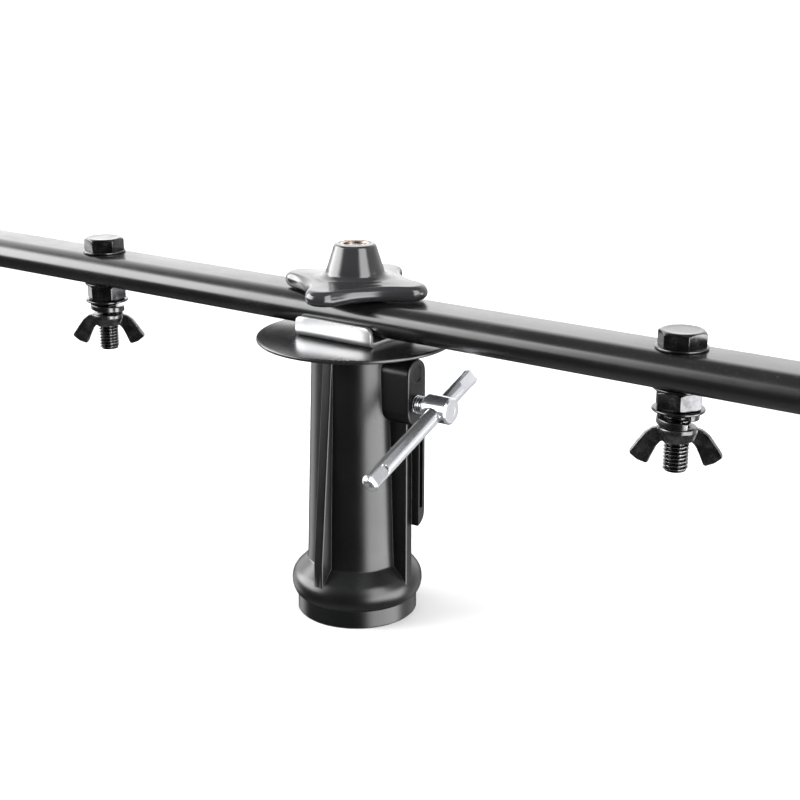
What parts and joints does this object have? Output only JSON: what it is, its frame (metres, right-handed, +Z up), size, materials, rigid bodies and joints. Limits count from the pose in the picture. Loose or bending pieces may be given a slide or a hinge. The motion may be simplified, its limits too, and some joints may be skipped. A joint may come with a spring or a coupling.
{
  "type": "lighting stand crossbar head",
  "caption": "Flat-oval crossbar with lamp bolts and wing nuts, held by a star knob on a ribbed pole socket that clamps with a T-handled screw.",
  "frame": {"origin": "centre of the pole socket mouth", "axes": "+Z up the pole axis; +X along the crossbar and outwards along the clamp screw"},
  "size_m": [1.0064, 0.0971, 0.1711],
  "materials": {
    "socket_plastic": "satin black moulded nylon",
    "steel_dark": "plain turned steel",
    "plate_black": "semi-gloss black powder coat",
    "steel_zinc": "bright zinc",
    "zinc": "bright zinc plate",
    "bar_black": "satin black powder coat",
    "cap_plastic": "fine-grained moulded plastic",
    "black_hardware": "glossy black zinc",
    "knob_plastic": "glossy moulded plastic",
    "brass": "turned brass",
    "shoe_plastic": "natural acetal"
  },
  "bodies": {
    "socket": {"socket_sleeve": "socket_plastic", "clamp_insert": "steel_dark", "top_plate": "plate_black", "centre_bolt": "steel_zinc"},
    "crossbar": {"bar_tube": "bar_black", "end_cap_left": "cap_plastic", "end_cap_right": "cap_plastic", "cradle_bracket": "zinc", "lamp_bolts": "black_hardware", "head_washers": "black_hardware", "under_washers": "black_hardware", "lock_nuts": "black_hardware"},
    "knob_slide": {"knob_washer": "zinc"},
    "star_knob": {"knob_body": "knob_plastic", "knob_insert": "brass"},
    "shoe_slide": {"clamp_shoe": "shoe_plastic"},
    "clamp_screw": {"clamp_screw": "zinc"},
    "tommy_bar": {"tommy_bar": "zinc"},
    "washer_stack_1": {"flat_washer_1": "black_hardware", "spring_washer_1": "black_hardware"},
    "wing_nut_1": {"wing_nut_1": "black_hardware"},
    "washer_stack_2": {"flat_washer_2": "black_hardware", "spring_washer_2": "black_hardware"},
    "wing_nut_2": {"wing_nut_2": "black_hardware"},
    "washer_stack_3": {"flat_washer_3": "black_hardware", "spring_washer_3": "black_hardware"},
    "wing_nut_3": {"wing_nut_3": "black_hardware"},
    "washer_stack_4": {"flat_washer_4": "black_hardware", "spring_washer_4": "black_hardware"},
    "wing_nut_4": {"wing_nut_4": "black_hardware"}
  },
  "joints": [
    {"name": "crossbar_swivel", "type": "hinge", "parent": "socket", "child": "crossbar", "pos_m": [0, 0, 0.13], "axis": [0, 0, 1], "continuous": true},
    {"name": "knob_lift", "type": "slide", "parent": "socket", "child": "knob_slide", "axis": [0, 0, 1], "range_m": [0, 0.012]},
    {"name": "knob_turn", "type": "hinge", "parent": "knob_slide", "child": "star_knob", "pos_m": [0, 0, 0.149], "axis": [0, 0, 1], "range_deg": [0, 2881.44]},
    {"name": "clamp_advance", "type": "slide", "parent": "socket", "child": "shoe_slide", "axis": [1, 0, 0], "range_m": [-0.00025347, 0.00011458]},
    {"name": "clamp_turn", "type": "hinge", "parent": "shoe_slide", "child": "clamp_screw", "pos_m": [0.0334, 0, 0.1038], "axis": [1, 0, 0], "range_deg": [-73.04, 33.02]},
    {"name": "tommy_slide", "type": "slide", "parent": "clamp_screw", "child": "tommy_bar", "axis": [0, 0.9336, 0.3584], "range_m": [-0.0161, 0.0446]},
    {"name": "wing_drop_1", "type": "slide", "parent": "crossbar", "child": "washer_stack_1", "axis": [0, 0, 1], "range_m": [-0.01, 0]},
    {"name": "wing_turn_1", "type": "hinge", "parent": "washer_stack_1", "child": "wing_nut_1", "pos_m": [-0.4695, 0, 0.1145], "axis": [0, 0, 1], "range_deg": [-2401.2, 0]},
    {"name": "wing_drop_2", "type": "slide", "parent": "crossbar", "child": "washer_stack_2", "axis": [0, 0, 1], "range_m": [-0.01, 0]},
    {"name": "wing_turn_2", "type": "hinge", "parent": "washer_stack_2", "child": "wing_nut_2", "pos_m": [-0.1565, 0, 0.1145], "axis": [0, 0, 1], "range_deg": [-2401.2, 0]},
    {"name": "wing_drop_3", "type": "slide", "parent": "crossbar", "child": "washer_stack_3", "axis": [0, 0, 1], "range_m": [-0.01, 0]},
    {"name": "wing_turn_3", "type": "hinge", "parent": "washer_stack_3", "child": "wing_nut_3", "pos_m": [0.1565, 0, 0.1145], "axis": [0, 0, 1], "range_deg": [-2401.2, 0]},
    {"name": "wing_drop_4", "type": "slide", "parent": "crossbar", "child": "washer_stack_4", "axis": [0, 0, 1], "range_m": [-0.01, 0]},
    {"name": "wing_turn_4", "type": "hinge", "parent": "washer_stack_4", "child": "wing_nut_4", "pos_m": [0.4695, 0, 0.1145], "axis": [0, 0, 1], "range_deg": [-2401.2, 0]}
  ],
  "couplings": [
    {"joint": "knob_turn", "follows": "knob_lift", "rad_per_m": 4188.8},
    {"joint": "clamp_turn", "follows": "clamp_advance", "rad_per_m": 5026.5},
    {"joint": "wing_turn_1", "follows": "wing_drop_1", "rad_per_m": 4188.8},
    {"joint": "wing_turn_2", "follows": "wing_drop_2", "rad_per_m": 4188.8},
    {"joint": "wing_turn_3", "follows": "wing_drop_3", "rad_per_m": 4188.8},
    {"joint": "wing_turn_4", "follows": "wing_drop_4", "rad_per_m": 4188.8}
  ]
}
